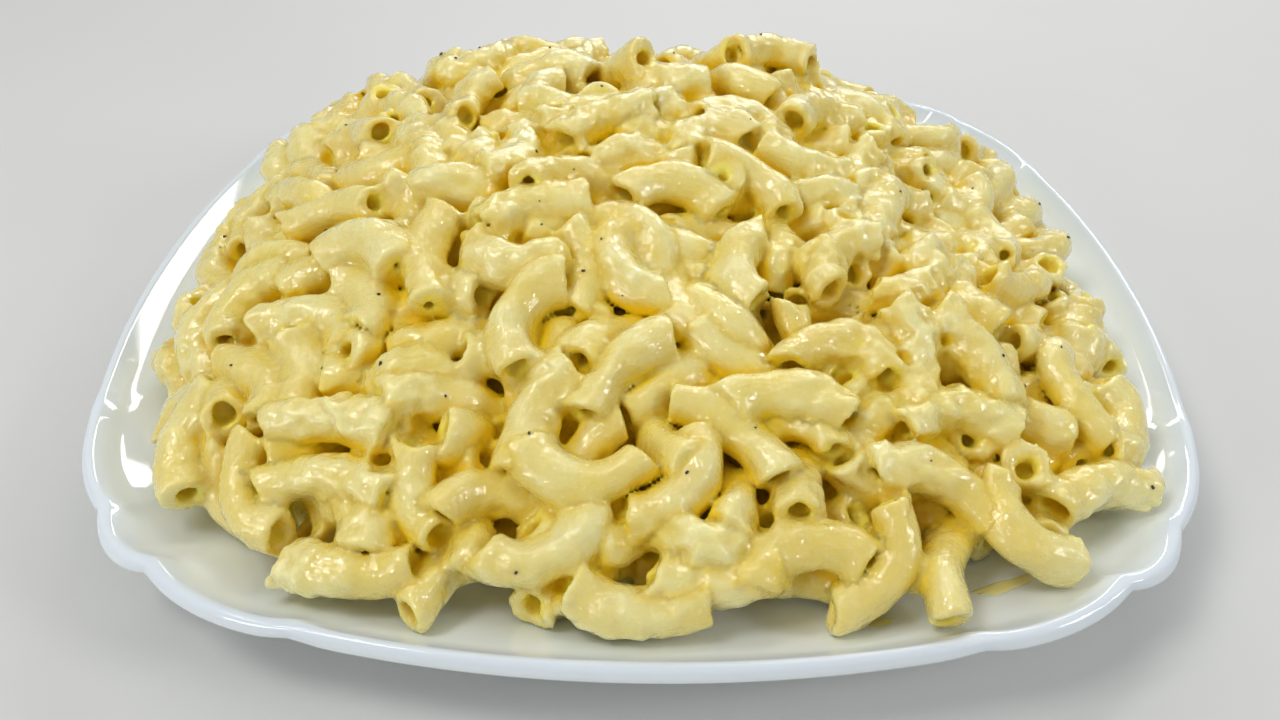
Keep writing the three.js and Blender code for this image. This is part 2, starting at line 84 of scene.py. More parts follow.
# Elbows that lie on top where they show best, in mm and degrees: x, y, heading, bend (to its left
# where it is positive), how much steeper than the heap it heads down, and how far it stands out.
ON_TOP = [
    (0, -111, -5, -50, 0, 0), (-16, -103, -160, 130, 0, 0), (-11, -91, -5, -110, 0, 1),
    (-4, -71, 45, 45, 0, 1), (-20, -80, -115, -50, 0, 0), (5, -80, 95, 80, 40, 1),
    (7, -92, -125, 115, 0, 0), (17, -82, -35, 45, 0, 0), (28, -76, 0, 75, 0, 2),
    (31, -86, 70, 60, 35, 0), (14, -107, 5, -60, 0, -1), (30, -103, 15, 120, 0, 0),
    (43, -103, -125, 110, 10, 1), (56, -101, -110, -60, -25, 0), (71, -95, -50, -140, 0, 1),
    (89, -82, 25, 50, 0, 0), (100, -64, -105, 140, 0, 0), (88, -62, -75, -110, 0, 1),
    (68, -60, -60, 55, 0, 1), (62, -74, 10, 80, 0, 0), (56, -88, -15, 60, 0, 0),
    (-17, -25, 30, 90, 25, 2), (-23, -36, 25, 45, 0, 1), (-27, -49, -15, -140, 0, 0),
    (-4, -48, -60, -140, 0, 1), (-23, -62, -115, -115, 0, 1), (-4, -61, 30, 70, 20, -1),
    (21, -65, -25, -45, 10, -1), (21, -44, -100, -120, 0, 2), (34, -34, 100, 50, 50, 1),
    (42, -40, -125, -115, 0, 2), (57, -42, -130, 125, 0, 0), (39, -64, 0, 135, 0, 1),
    (55, -63, -90, 90, 0, 0), (-69, -27, -10, 45, 0, 1), (-68, -56, -15, 110, 10, 0),
    (-58, -44, -20, 110, 0, 1), (-44, -48, -90, -50, 0, 1), (-38, -74, 15, 50, 30, 0),
    (-77, -68, -50, 95, 0, 0), (-59, -80, -5, 50, 0, 1), (-58, -90, -5, 60, 0, 0),
    (-72, -91, -65, -110, 0, 0), (-89, -76, -90, -70, 0, 0), (-51, -105, -5, -45, 0, 0),
    (-38, -101, -80, 100, -30, 0), (-26, -93, 15, 95, 25, 1), (-10, -5, 35, 45, 0, 1),
    (43, 14, 35, 85, 0, 1), (37, -8, 5, -45, 0, 0), (6, -25, 5, 100, 0, 0),
    (24, -20, 145, -80, 0, 1), (-6, 26, 115, 60, 30, 4), (31, 36, 15, 90, 0, 5),
    (17, 38, 100, 60, 20, 4),
]
# The placed elbows' size, and how far to each side of them the heap's slope is measured.
PLACED = dict(radius=4.2, length=24.5, proud=1.0, feel=6.0)

# ---- sizes of the finer form

GRID = dict(step=0.8, low=(-115.0, -122.0, 4.6), high=(122.0, 98.0, 78.0))
TUBE = dict(
    bore=0.56,  # as a share of the tube
    bore_depth=5.0,  # to where sauce fills it
    lip=0.9,  # rounding of the cut ends
    reach=4.5,  # how far out from each tube its distance is kept
    wobble=2.4, wobble_cell=9.0,
)
SAUCE = dict(
    web=(0.4, 3.4),  # how wide it fillets between tubes, from dry patches to wet ones
    web_cell=11.0,  # size of the dry and wet patches
    web_patches=(0.35, 1.8),  # how wet they are on the whole, and how unlike
    pool=(1.0, 0.76),  # how crowded a gap is that it fills, from dry patches to wet ones
    pool_web=2.0,
    coat=0.3,
    thinnest=-0.3,  # how far the skin may fall below a tube's own
    swell=1.2, swell_cell=5.0,
    ridge=1.9, ridge_cell=2.7,  # wrinkles that the sauce dries into
    curd=1.1, curd_cell=1.6,
    ridge_line=0.22,  # how wide a wrinkle is, in the noise that it comes from
    patch_cell=13.0,  # size of the patches with and without wrinkles and curds
    patches=(0.45, 1.4),  # how full of them they are on the whole, and how unlike
    core_depth=14.0, core_web=2.5, plate_gap=0.3,
)
CREASE = 0.9  # how far from the line where two tubes meet the gold of its painted shade shows
CROWD = dict(reach=3.6, out=2.6)  # how far round a point, and off it, the food is felt
MARK = dict(
    bore_edge=0.12,  # over what share of the tube the bore's painted light sets in
    bare=0.05,  # sauce that is thinner than this doesn't show
    full=0.8,  # how much thicker than that it hides the pasta
    thick_share=0.75, wet_share=0.5, dry_loss=0.15,
)
PIECES = 6
SEED = 7

# ---- plate form


def super_reach(angle, left, right, front, back, power):
    c, s = np.cos(angle), np.sin(angle)
    across = np.abs(c / np.where(c < 0, left, right)) ** power
    along = np.abs(s / np.where(s < 0, front, back)) ** power
    return (across + along) ** (-1 / power)


def body_reach(angle):
    side = PLATE["side_reach"]
    return super_reach(angle, side, side, side, side, PLATE["body_power"])


def glass_top(share):
    p = PLATE
    climb = np.clip((share - p["well_edge"]) / (1 - p["well_edge"]), 0, 1)
    rise = p["height"] - p["lip_join"] * p["lip_roll"] - p["well_floor"]
    return p["well_floor"] + rise * climb ** p["rim_curve"]


def plate_top_at(x, y):
    return glass_top(np.hypot(x, y) / body_reach(np.arctan2(y, x)))


# ---- heap form


def footprint_reach(angle):
    h = HEAP
    return super_reach(angle, h["left"], h["right"], h["front"], h["back"], h["corner_power"])


def spoonfuls(x, y):
    """Broad hollows and humps, as of spoonfuls: waves of unlike lengths."""
    humps = np.sin(x / 17 + 0.6) * np.cos(y / 19 - 0.4)
    return HEAP["unevenness"] * (humps + 0.7 * np.sin(x / 29 - y / 23 + 2.1))


def heap_top_at(x, y):
    h = HEAP
    angle = np.arctan2(y, x)
    share = np.hypot(x, y) / footprint_reach(angle)
    out = np.minimum(1, share * h["turn_reach"])
    backward = np.clip(0.5 + h["turn"] * np.sin(angle) * out, 0, 1)
    power = h["front_power"] * (1 - backward) + h["back_power"] * backward
    fall = h["front_fall"] * (1 - backward) + h["back_fall"] * backward
    plate = plate_top_at(x, y)
    edge = plate + h["edge_rise"]
    lift = (1 - np.minimum(share, 1) ** power) ** fall
    crest = h["height"] + h["lean"] * x + h["rise"] * y + spoonfuls(x, y)
    top = edge + (crest - edge) * lift
    return np.where(share >= 1, plate, top)


# ---- laying the elbows

ELBOW_DRAWS = 8  # radius, length, bend, x, y, heading, roll and pitch


def seeded_draws(state, count):
    """The next draws of the minimal standard random generator, from 0 to 1, and its state."""
    factor, most = 48271, 2147483647
    draws = np.empty(count)
    for i in range(count):
        state = state * factor % most
        draws[i] = state
    return draws / most, state


def posed(radius, length, bend, x, y, heading, roll, pitch):
    """Elbows with the balls that stand for them, their middles at height 0. Angles in radians."""
    bend_radius = length / bend
    shift = bend_radius * (np.sin(bend / 2) / (bend / 2))
    ch, sh, cp, sp = np.cos(heading), np.sin(heading), np.cos(pitch), np.sin(pitch)
    cr, sr = np.cos(roll), np.sin(roll)
    ax = np.stack([ch * cp, sh * cp, -sp], -1)
    ay = np.stack([ch * sp * sr - sh * cr, sh * sp * sr + ch * cr, cp * sr], -1)
    az = np.stack([ch * sp * cr + sh * sr, sh * sp * cr - ch * sr, cp * cr], -1)
    steps = 2 * np.arange(ELBOW["balls"]) / (ELBOW["balls"] - 1) - 1
    angle = (bend / 2 - ELBOW["ball_inset"] * radius / bend_radius)[:, None] * steps
    u = bend_radius[:, None] * np.sin(angle)
    v = bend_radius[:, None] * np.cos(angle) - shift[:, None]
    balls = u[..., None] * ax[:, None] + v[..., None] * ay[:, None]
    balls[..., 0] += x[:, None]
    balls[..., 1] += y[:, None]
    return dict(
        radius=radius, bend=bend, bend_radius=bend_radius, shift=shift, x=x, y=y,
        axes=np.stack([ax, ay, az], 1), balls=balls,
    )


def candidates(draws, *others):
    """Random elbows to try, and other drawn values between the ends given for each."""
    e = ELBOW
    ends = [e["radius"], e["length"], e["bend"], (-HEAP["left"], HEAP["right"])]
    ends += [(-HEAP["front"], HEAP["back"]), (0, 2 * math.pi), (-e["roll"], e["roll"])]
    ends += [(-e["pitch"], e["pitch"]), *others]
    low, high = np.array(ends, float).T
    drawn = low + (high - low) * draws.reshape(-1, len(ends))
    radius, length, bend, x, y, heading, roll, pitch = drawn.T[:ELBOW_DRAWS]
    bend, roll, pitch = np.radians(bend), np.radians(roll), np.radians(pitch)
    return posed(radius, length, bend, x, y, heading, roll, pitch), drawn.T[ELBOW_DRAWS:]


def elbows_on_top():
    """The elbows that are placed one by one, each lying along the slope of the heap."""
    x, y, heading, bend, dip, lift = np.array(ON_TOP, float).T
    heading, dip = np.radians(heading), np.radians(dip)
    c, s = PLACED["feel"] * np.cos(heading), PLACED["feel"] * np.sin(heading)
    span = 2 * PLACED["feel"]
    climb = (heap_top_at(x + c, y + s) - heap_top_at(x - c, y - s)) / span
    bank = (heap_top_at(x - s, y + c) - heap_top_at(x + s, y - c)) / span
    pitch = dip - np.arctan(climb)
    roll = np.arctan(bank * np.cos(pitch)) + np.where(bend < 0, math.pi, 0)
    radius, length = (np.full(len(x), PLACED[key]) for key in ("radius", "length"))
    placed = posed(radius, length, np.radians(np.abs(bend)), x, y, heading, roll, pitch)
    bx, by, bz = np.moveaxis(placed["balls"], -1, 0)
    under_top = height_under_top(placed, PLACED["proud"] + lift)
    over_plate = (plate_top_at(bx, by) + plate_lift(PLACED["radius"]) - bz).max(1)
    return dict(placed, rest=np.maximum(under_top, over_plate))


def height_under_top(posing, lift):
    """The height at which each elbow's highest part stands out of the heap by a lift."""
    bx, by, bz = np.moveaxis(posing["balls"], -1, 0)
    return (heap_top_at(bx, by) + (lift - posing["radius"])[:, None] - bz).min(1)


def is_inside(posing):
    bx, by = posing["balls"][..., 0], posing["balls"][..., 1]
    reach = np.hypot(bx, by) + posing["radius"][:, None]
    return (reach < footprint_reach(np.arctan2(by, bx))).all(1)


def plate_lift(radius):
    return LAY["corner_reach"] * radius + LAY["plate_gap"]


def resting_height(balls, radius, laid):
    """How far down each candidate can sink before it meets the plate or an elbow."""
    bx, by, bz = balls[..., 0], balls[..., 1], balls[..., 2]
    rest = (plate_top_at(bx, by) + plate_lift(radius[:, None]) - bz).max(1)
    if len(laid):
        hit, reach = overlaps(balls, radius, laid)
        z = laid[:, 2] + reach - bz[..., None]
        rest = np.maximum(rest, np.where(hit, z, -np.inf).max((1, 2)))
    return rest


def overlaps(balls, radius, laid):
    """Where balls lie over laid ones in plan, and how far above them they would touch."""
    touch = ELBOW["squash"] * (radius[:, None, None] + laid[:, 3])
    flat = (balls[..., 0, None] - laid[:, 0]) ** 2 + (balls[..., 1, None] - laid[:, 1]) ** 2
    room = touch**2 - flat
    return room > 0, np.sqrt(np.maximum(room, 0))


def is_under(balls, radius, rest, placed):
    """Whether each candidate passes under the placed elbows that it meets."""
    hit, reach = overlaps(balls, radius, placed)
    z = balls[..., 2] + rest[:, None]
    clear = z[..., None] <= placed[:, 2] - reach
    return (clear | ~hit).all((1, 2))


def best_of(tried, fuss, proud, laid, placed):
    """Index and resting height of the candidate that lies lowest within the heap, if any does."""
    balls, radius = tried["balls"], tried["radius"]
    kept = np.nonzero(is_inside(tried))[0]
    if not len(kept):
        return None
    rest = resting_height(balls[kept], radius[kept], laid)
    top = balls[kept, :, 2] + (rest + radius[kept])[:, None]
    limit = heap_top_at(balls[kept, :, 0], balls[kept, :, 1]) + proud[kept, None]
    fits = (top <= limit).all(1)
    fits &= is_under(balls[kept], radius[kept], rest, placed)
    score = np.where(fits, rest + fuss[kept], np.inf)
    lowest = int(np.argmin(score))
    return (kept[lowest], rest[lowest]) if np.isfinite(score[lowest]) else None


def gap_fillers(draws, laid):
    """Further elbows at the heap's top, wherever they keep clear enough of the others."""
    tried, (lift,) = candidates(draws, FILL["lift"])
    radius = tried["radius"]
    rest = height_under_top(tried, lift)
    balls = tried["balls"].copy()
    balls[..., 2] += rest[:, None]
    lowest = plate_top_at(balls[..., 0], balls[..., 1]) + plate_lift(radius[:, None])
    fits = is_inside(tried) & (balls[..., 2] > lowest).all(1)
    middle = ELBOW["balls"] // 2
    chosen = []
    for i in np.nonzero(fits)[0]:
        touch = FILL["touch"] * (radius[i] + laid[:, 3])
        if (((balls[i, middle] - laid[:, :3]) ** 2).sum(1) <= touch**2).any():
            continue
        if (((balls[i][:, None] - laid[:, :3]) ** 2).sum(2) <= touch**2).any():
            continue
        chosen.append(i)
        sized = np.column_stack([balls[i], np.full(len(balls[i]), radius[i])])
        laid = np.concatenate([laid, sized])
    return tried, rest, chosen


def lay_heap():
    """The placed elbows, the random ones that sink under them, and those that fill the gaps."""
    elbows = []

    def lay(posing, i, rest):
        elbow = {key: posing[key][i] for key in ("radius", "bend", "bend_radius", "shift", "axes")}
        elbow["at"] = np.array([posing["x"][i], posing["y"][i], rest])
        elbow["balls"] = posing["balls"][i] + (0, 0, rest)
        elbows.append(elbow)
        return np.column_stack([elbow["balls"], np.full(ELBOW["balls"], elbow["radius"])])

    on_top = elbows_on_top()
    placed = np.concatenate([lay(on_top, i, rest) for i, rest in enumerate(on_top["rest"])])
    state = LAY["seed"]
    laid = np.empty((0, 4))
    misses = 0
    while len(elbows) < LAY["most"] and misses < LAY["misses"]:
        draws, state = seeded_draws(state, LAY["tries"] * (ELBOW_DRAWS + 2))
        tried, (fuss, proud) = candidates(draws, (0, LAY["jitter"]), (0, LAY["proud"]))
        best = best_of(tried, fuss, proud, laid, placed)
        if best is None:
            misses += 1
            continue
        misses = 0
        laid = np.concatenate([laid, lay(tried, *best)])
    draws, state = seeded_draws(state, FILL["tries"] * (ELBOW_DRAWS + 1))
    tried, rest, chosen = gap_fillers(draws, np.concatenate([laid, placed]))
    for i in chosen:
        lay(tried, i, rest[i])
    return elbows


# ---- a field on a grid


class Field:
    """A regular grid over the heap, and the axes of its samples."""

    def __init__(self, step, low, high):
        self.step = step
        self.low = np.array(low)
        self.shape = tuple(int(n) for n in np.ceil((np.array(high) - self.low) / step) + 1)
        self.axes = [self.low[a] + step * np.arange(self.shape[a]) for a in range(3)]

    def noise(self, rng, cell):
        """Smooth noise with lumps of about one cell, by quadratic splines on a lattice."""
        weights = []
        counts = [int(n * self.step / cell) + 4 for n in self.shape]
        for n, count in zip(self.shape, counts):
            at = self.step * np.arange(n) / cell
            first = np.floor(at).astype(int)
            part = at - first
            weight = np.zeros((n, count), np.float32)
            rows = np.arange(n)
            weight[rows, first] = 0.5 * (1 - part) ** 2
            weight[rows, first + 1] = 0.5 + part * (1 - part)
            weight[rows, first + 2] = 0.5 * part**2
            weights.append(weight)
        lattice = rng.uniform(-1, 1, counts).astype(np.float32)
        lines = np.tensordot(weights[0], lattice, (1, 0))
        sheets = np.matmul(weights[1], lines)
        return np.matmul(sheets, weights[2].T)

    def window(self, points, reach):
        """Slices of the grid around some points."""
        first = np.floor((points.min(0) - reach - self.low) / self.step).astype(int)
        last = np.ceil((points.max(0) + reach - self.low) / self.step).astype(int) + 1
        first = np.clip(first, 0, self.shape)
        last = np.clip(last, 0, self.shape)
        return tuple(slice(a, b) for a, b in zip(first, last))

    def sample(self, values, points):
        """Values between the grid's samples."""
        at = (points - self.low) / self.step
        first = np.clip(np.floor(at).astype(int), 0, np.array(self.shape) - 2)
        part = (at - first).astype(np.float32)
        total = np.zeros(len(points), np.float32)
        for corner in np.ndindex(2, 2, 2):
            weight = np.prod(np.where(corner, part, 1 - part), axis=1)
            ix, iy, iz = (first + corner).T
            total += weight * values[ix, iy, iz]
        return total


def smooth_min(a, b, width):
    overlap = np.maximum(width - np.abs(a - b), 0) / width
    return np.minimum(a, b) - 0.25 * width * overlap * overlap


def tube_distance(elbow, x, y, z):
    """Signed distance to a bent tube with a bore and softened cut ends."""
    ax, ay, az = elbow["axes"].astype(np.float32)
    u = ax[0] * x + ax[1] * y + ax[2] * z
    v = ay[0] * x + ay[1] * y + ay[2] * z + np.float32(elbow["shift"])
    w = az[0] * x + az[1] * y + az[2] * z
    off_centre = np.hypot(np.hypot(u, v) - np.float32(elbow["bend_radius"]), w)
    radius = elbow["radius"]
    half = elbow["bend"] / 2
    past_end = np.abs(u) * math.cos(half) - v * math.sin(half)
    bore = np.minimum(TUBE["bore"] * radius - off_centre, past_end + TUBE["bore_depth"])
    wall = np.maximum(off_centre - radius, bore)
    return -smooth_min(-wall, -past_end, TUBE["lip"])


def tube_fields(field, elbows, rng):
    """Distance to the nearest and next nearest tube, and which is nearest."""
    far = 2 * TUBE["reach"]
    nearest = np.full(field.shape, far, np.float32)
    second = np.full(field.shape, far, np.float32)
    owner = np.full(field.shape, -1, np.int16)
    warp = [TUBE["wobble"] * field.noise(rng, TUBE["wobble_cell"]) for _ in range(3)]
    for number, elbow in enumerate(elbows):
        reach = elbow["radius"] + TUBE["reach"]
        window = field.window(elbow["balls"], reach)
        away = [(field.axes[a][window[a]] - elbow["at"][a]).astype(np.float32) for a in range(3)]
        x, y, z = np.meshgrid(*away, indexing="ij", sparse=True)
        here = tube_distance(elbow, x + warp[0][window], y + warp[1][window], z + warp[2][window])
        first, then = nearest[window], second[window]
        closer = here < first
        np.copyto(then, np.where(closer, first, np.minimum(then, here)))
        np.copyto(first, here, where=closer)
        np.copyto(owner[window], np.int16(number), where=closer)
    return nearest, second, owner


def core_crown(field):
    """Height of the solid sauce core: the heap's top, less a ball rolled under it."""
    x, y = np.meshgrid(field.axes[0], field.axes[1], indexing="ij")
    nowhere = -50.0
    top = np.where(heap_top_at(x, y) > plate_top_at(x, y) + 1e-3, heap_top_at(x, y), nowhere)
    depth = SAUCE["core_depth"]
    reach = int(depth / field.step)
    crown = np.full(top.shape, np.inf)
    padded = np.pad(top, reach, constant_values=nowhere)
    rows, columns = top.shape
    for i, j in np.ndindex(2 * reach + 1, 2 * reach + 1):
        flat = ((i - reach) ** 2 + (j - reach) ** 2) * field.step**2
        if flat < depth * depth:
            shifted = padded[i : i + rows, j : j + columns]
            crown = np.minimum(crown, shifted - math.sqrt(depth * depth - flat))
    return crown


def core_distance(field):
    """Signed distance to the core, as far in as its web needs it."""
    crown = core_crown(field)
    steepest = 6
    slope = np.minimum(np.hypot(*np.gradient(crown, field.step)), steepest)
    above = field.axes[2][None, None, :] - crown[..., None]
    core = (above / np.sqrt(1 + slope**2)[..., None]).astype(np.float32)
    return np.maximum(core, -np.float32(4 * SAUCE["core_web"]))


def glass_distance(field):
    """Signed distance to where the food may be, clear of the plate."""
    x, y = np.meshgrid(field.axes[0], field.axes[1], indexing="ij")
    glass = plate_top_at(x, y)
    rise = np.sqrt(1 + np.hypot(*np.gradient(glass, field.step)) ** 2)
    z = field.axes[2][None, None, :]
    under = (glass[..., None] + SAUCE["plate_gap"] - z) / rise[..., None]
    return under.astype(np.float32)


def patches(field, rng, cell, usual, contrast):
    """A value from 0 to 1 that changes from patch to patch."""
    return np.clip(usual + contrast * field.noise(rng, cell), 0, 1)


def sauce_skin(field, rng):
    """How far the sauce stands out: a swelling coat, with wrinkles and curds in patches."""
    patch = patches(field, rng, SAUCE["patch_cell"], *SAUCE["patches"])
    ridges = np.abs(field.noise(rng, SAUCE["ridge_cell"]))
    ridges = SAUCE["ridge"] * (SAUCE["ridge_line"] - ridges)
    curds = SAUCE["curd"] * field.noise(rng, SAUCE["curd_cell"])
    swell = SAUCE["swell"] * field.noise(rng, SAUCE["swell_cell"])
    return np.maximum(SAUCE["coat"] + swell + patch * (ridges + curds), SAUCE["thinnest"])


def heap_field(field, elbows, rng):
    """The macaroni with its sauce as a signed field, and what tells its parts apart."""
    nearest, second, owner = tube_fields(field, elbows, rng)
    wet = patches(field, rng, SAUCE["web_cell"], *SAUCE["web_patches"])
    dry_web, wet_web = SAUCE["web"]
    body = smooth_min(nearest, second, dry_web + (wet_web - dry_web) * wet)
    dry_pool, wet_pool = SAUCE["pool"]
    filled = dry_pool + (wet_pool - dry_pool) * wet - crowding(field, nearest)
    body = smooth_min(body, 2 * CROWD["reach"] * filled, SAUCE["pool_web"])
    body = smooth_min(body, core_distance(field), SAUCE["core_web"])
    body -= sauce_skin(field, rng)
    body = np.maximum(body, glass_distance(field))
    return body, nearest, second, owner, wet


def crowding(field, values):
    """Share of the room round each sample that the food fills, by two box blurs."""
    reach = int(round(CROWD["reach"] / field.step))
    width = 2 * reach + 1
    share = (values < 0).astype(np.float32)
    for axis in (0, 1, 2, 0, 1, 2):
        pad = [(reach + 1, reach) if a == axis else (0, 0) for a in range(3)]
        total = np.cumsum(np.pad(share, pad), axis=axis, dtype=np.float32)
        total = np.moveaxis(total, axis, 0)
        share = np.moveaxis((total[width:] - total[:-width]) / width, 0, axis)
    return share


# ---- surface of a field


def surface_of(field, values):
    """Vertices and quads of the surface where a field is zero."""
    inside = values < 0
    corners = np.zeros(tuple(n - 1 for n in field.shape), np.uint8)
    for corner in np.ndindex(2, 2, 2):
        corners += inside[tuple(slice(c, c + n - 1) for c, n in zip(corner, field.shape))]
    cells = np.argwhere((corners > 0) & (corners < 8))
    number = np.full(corners.shape, -1, np.int32)
    number[tuple(cells.T)] = np.arange(len(cells))
    total = np.zeros((len(cells), 3))
    crossings = np.zeros(len(cells))
    for axis, along in enumerate(np.eye(3, dtype=int)):
        for corner in np.ndindex(2, 2, 2):
            if corner[axis]:
                continue
            a = values[tuple((cells + corner).T)]
            b = values[tuple((cells + corner + along).T)]
            crossed = (a < 0) != (b < 0)
            point = np.array(corner, float)[None, :].repeat(len(cells), 0)
            point[:, axis] = np.where(crossed, a / np.where(crossed, a - b, 1), 0)
            total += point * crossed[:, None]
            crossings += crossed
    vertices = field.low + field.step * (cells + total / crossings[:, None])
    quads = []
    for axis in range(3):
        side, other = [a for a in range(3) if a != axis]
        low, high = [slice(1, -1)] * 3, [slice(1, -1)] * 3
        low[axis], high[axis] = slice(0, -1), slice(1, None)
        before, after = inside[tuple(low)], inside[tuple(high)]
        for crossed, flip in ((before & ~after, False), (~before & after, True)):
            edge = np.argwhere(crossed)
            edge[:, [side, other]] += 1
            around = []
            for back_side, back_other in ((0, 0), (1, 0), (1, 1), (0, 1)):
                cell = edge.copy()
                cell[:, side] -= back_side
                cell[:, other] -= back_other
                around.append(number[tuple(cell.T)])
            quad = np.stack(around, 1)
            quads.append(quad[:, ::-1] if flip != (axis == 1) else quad)
    return vertices, np.concatenate(quads)


def largest_body(count, faces):
    """Marks the vertices of the largest connected surface."""
    label = np.arange(count)
    ends = np.concatenate([faces[:, [0, 1]], faces[:, [1, 2]], faces[:, [2, 3]]])
    while True:
        low = np.minimum(label[ends[:, 0]], label[ends[:, 1]])
        before = label.copy()
        np.minimum.at(label, ends[:, 0], low)
        np.minimum.at(label, ends[:, 1], low)
        label = label[label]
        if np.array_equal(before, label):
            break
    return label == np.bincount(label).argmax()


def gradient_at(field, values, points):
    """Direction in which a field grows, at some points."""
    parts = []
    for offset in 0.8 * field.step * np.eye(3):
        ahead = field.sample(values, points + offset)
        behind = field.sample(values, points - offset)
        parts.append(ahead - behind)
    way = np.stack(parts, 1)
    return way / np.maximum(np.linalg.norm(way, axis=1, keepdims=True), 1e-9)


# ---- meshes


def new_piece(name, mesh, material):
    mesh.materials.append(material)
    piece = bpy.data.objects.new(name, mesh)
    bpy.context.scene.collection.objects.link(piece)
    return piece


def object_of_lists(name, points, faces, material):
    """A smooth mesh object in metres, from points in millimetres and faces of any sides."""
    mesh = bpy.data.meshes.new(name)
    mesh.from_pydata((points * MM).tolist(), [], faces)
    mesh.polygons.foreach_set("use_smooth", np.ones(len(mesh.polygons), bool))
    return new_piece(name, mesh, material)


def new_object(name, vertices, faces, material, normals=None, marks=None):
    """A mesh object in metres, from arrays in millimetres, with point attributes."""
    mesh = bpy.data.meshes.new(name)
    mesh.vertices.add(len(vertices))
    mesh.vertices.foreach_set("co", (vertices * MM).astype(np.float32).ravel())
    sides = faces.shape[1]
    mesh.loops.add(faces.size)
    mesh.loops.foreach_set("vertex_index", faces.astype(np.int32).ravel())
    mesh.polygons.add(len(faces))
    mesh.polygons.foreach_set("loop_start", np.arange(0, faces.size, sides, dtype=np.int32))
    mesh.polygons.foreach_set("use_smooth", np.ones(len(faces), bool))
    mesh.update(calc_edges=True)
    mesh.validate()
    for key, value in (marks or {}).items():
        kind, field = ("FLOAT", "value") if value.ndim == 1 else ("FLOAT_VECTOR", "vector")
        layer = mesh.attributes.new(key, kind, "POINT")
        layer.data.foreach_set(field, value.astype(np.float32).ravel())
    if normals is not None:
        mesh.normals_split_custom_set_from_vertices(normals.astype(np.float32))
    return new_piece(name, mesh, material)


def ringed_solid(rings, top, under):
    """Points and faces of rings joined each to the next, with a middle point at both ends."""
    count = len(rings[0])
    points = np.concatenate([*rings, [top, under]])
    i = np.arange(count)
    after = (i + 1) % count
    last = (len(rings) - 1) * count
    faces = []
    for start in range(0, last, count):
        end = start + count
        faces += np.stack([start + i, end + i, end + after, start + after], 1).tolist()
    faces += np.stack([np.full(count, len(points) - 2), i, after], 1).tolist()
    faces += np.stack([np.full(count, len(points) - 1), last + after, last + i], 1).tolist()
    return points, faces


# ---- materials


class Shade:
    """A short way to write a node material."""

    def __init__(self, name):
        self.material = bpy.data.materials.new(name)
        self.material.use_nodes = True
        self.tree = self.material.node_tree
        self.tree.nodes.clear()
        self.shader = self.add("ShaderNodeBsdfPrincipled")
        self.add("ShaderNodeOutputMaterial", {"Surface": self.shader.outputs["BSDF"]})

    def add(self, kind, values=None, **settings):
        node = self.tree.nodes.new(kind)
        for key, value in settings.items():
            setattr(node, key, value)
        self.fill(node, values or {})
        return node

    def fill(self, node, values):
        """Gives each socket a link, where its value comes from another node, or else a number."""
        for socket, value in values.items():
            if hasattr(value, "links"):
                self.tree.links.new(value, node.inputs[socket])
            else:
                node.inputs[socket].default_value = value

    def look(self, values):
        self.fill(self.shader, values)

    def mark(self, name, output="Fac"):
        return self.add("ShaderNodeAttribute", attribute_name=name).outputs[output]

    def noise(self, size, detail=2.0, roughness=0.5, distortion=0.0, place=None, stretch=None):
        """Noise of a size in mm, by the object's own place or another one."""
        stretch = stretch or (1, 1, 1)
        if place is None:
            place = self.add("ShaderNodeTexCoord").outputs["Object"]
        scaled = self.add("ShaderNodeVectorMath", {0: place, 1: stretch}, operation="MULTIPLY")
        values = {"Vector": scaled.outputs["Vector"], "Scale": 1 / (size * MM)}
        values.update({"Detail": detail, "Roughness": roughness, "Distortion": distortion})
        return self.add("ShaderNodeTexNoise", values).outputs["Fac"]

    def span(self, value, low, high, to_low=0.0, to_high=1.0):
        """A number that goes smoothly from one end to another as a value rises."""
        values = {"Value": value, "From Min": low, "From Max": high}
        values.update({"To Min": to_low, "To Max": to_high})
        node = self.add("ShaderNodeMapRange", values, interpolation_type="SMOOTHSTEP")
        return node.outputs["Result"]

    def mix(self, share, a, b):
        return self.add("ShaderNodeMix", {0: share, 6: a, 7: b}, data_type="RGBA").outputs[2]

    def maths(self, operation, a, b):
        return self.add("ShaderNodeMath", {0: a, 1: b}, operation=operation).outputs["Value"]

    def bump(self, height, depth, strength=1.0, normal=None):
        values = {"Height": height, "Strength": strength, "Distance": depth * MM}
        if normal is not None:
            values["Normal"] = normal
        return self.add("ShaderNodeBump", values).outputs["Normal"]


def srgb(red, green, blue):
    """A colour given as 0 to 255 on screen, as the shader's linear values."""

    def linear(value):
        value /= 255
        return value / 12.92 if value <= 0.04045 else ((value + 0.055) / 1.055) ** 2.4

    return linear(red), linear(green), linear(blue), 1.0


# Colours, and pairs of them that a material has tones between.
PASTA = srgb(234, 205, 72), srgb(239, 217, 104)
CREAM = srgb(241, 228, 148), srgb(246, 238, 184)
CREASE_PAINTED_SHADE = srgb(243, 212, 64)
GAP_PAINTED_SHADE = srgb(245, 212, 52)
DEEP_PAINTED_SHADE = srgb(254, 218, 24)
BORE_PAINTED_LIGHT = srgb(252, 230, 88)
GLASS = srgb(238, 245, 246), srgb(242, 249, 250)
GLASS_LIP = srgb(228, 236, 243)
SMEAR_CREAM = srgb(244, 238, 176), srgb(242, 230, 140)
PEPPER_BLACK = srgb(34, 28, 22), srgb(74, 60, 44)
FLOOR_GREY = srgb(214, 214, 212), srgb(218, 218, 216)
# How much of a colour shows where it is whole; open is painted light on open tops, crease is
# painted shade, and bore is painted light in the bores.
COVER = dict(sauce=0.6, open=0.4, crease=0.75, bore=0.85)
# How crowded it is where a look sets in, and where it is whole: painted light on open tops,
# painted shade in gaps and deeper down, and duller gloss.
CROWDED = dict(painted_light_ends=(0.1, 0.34), gap=(0.3, 0.52), deep=(0.5, 0.76), dull=(0.3, 0.6))
NOISE_ENDS = (0.3, 0.7)  # between which most values of a noise are


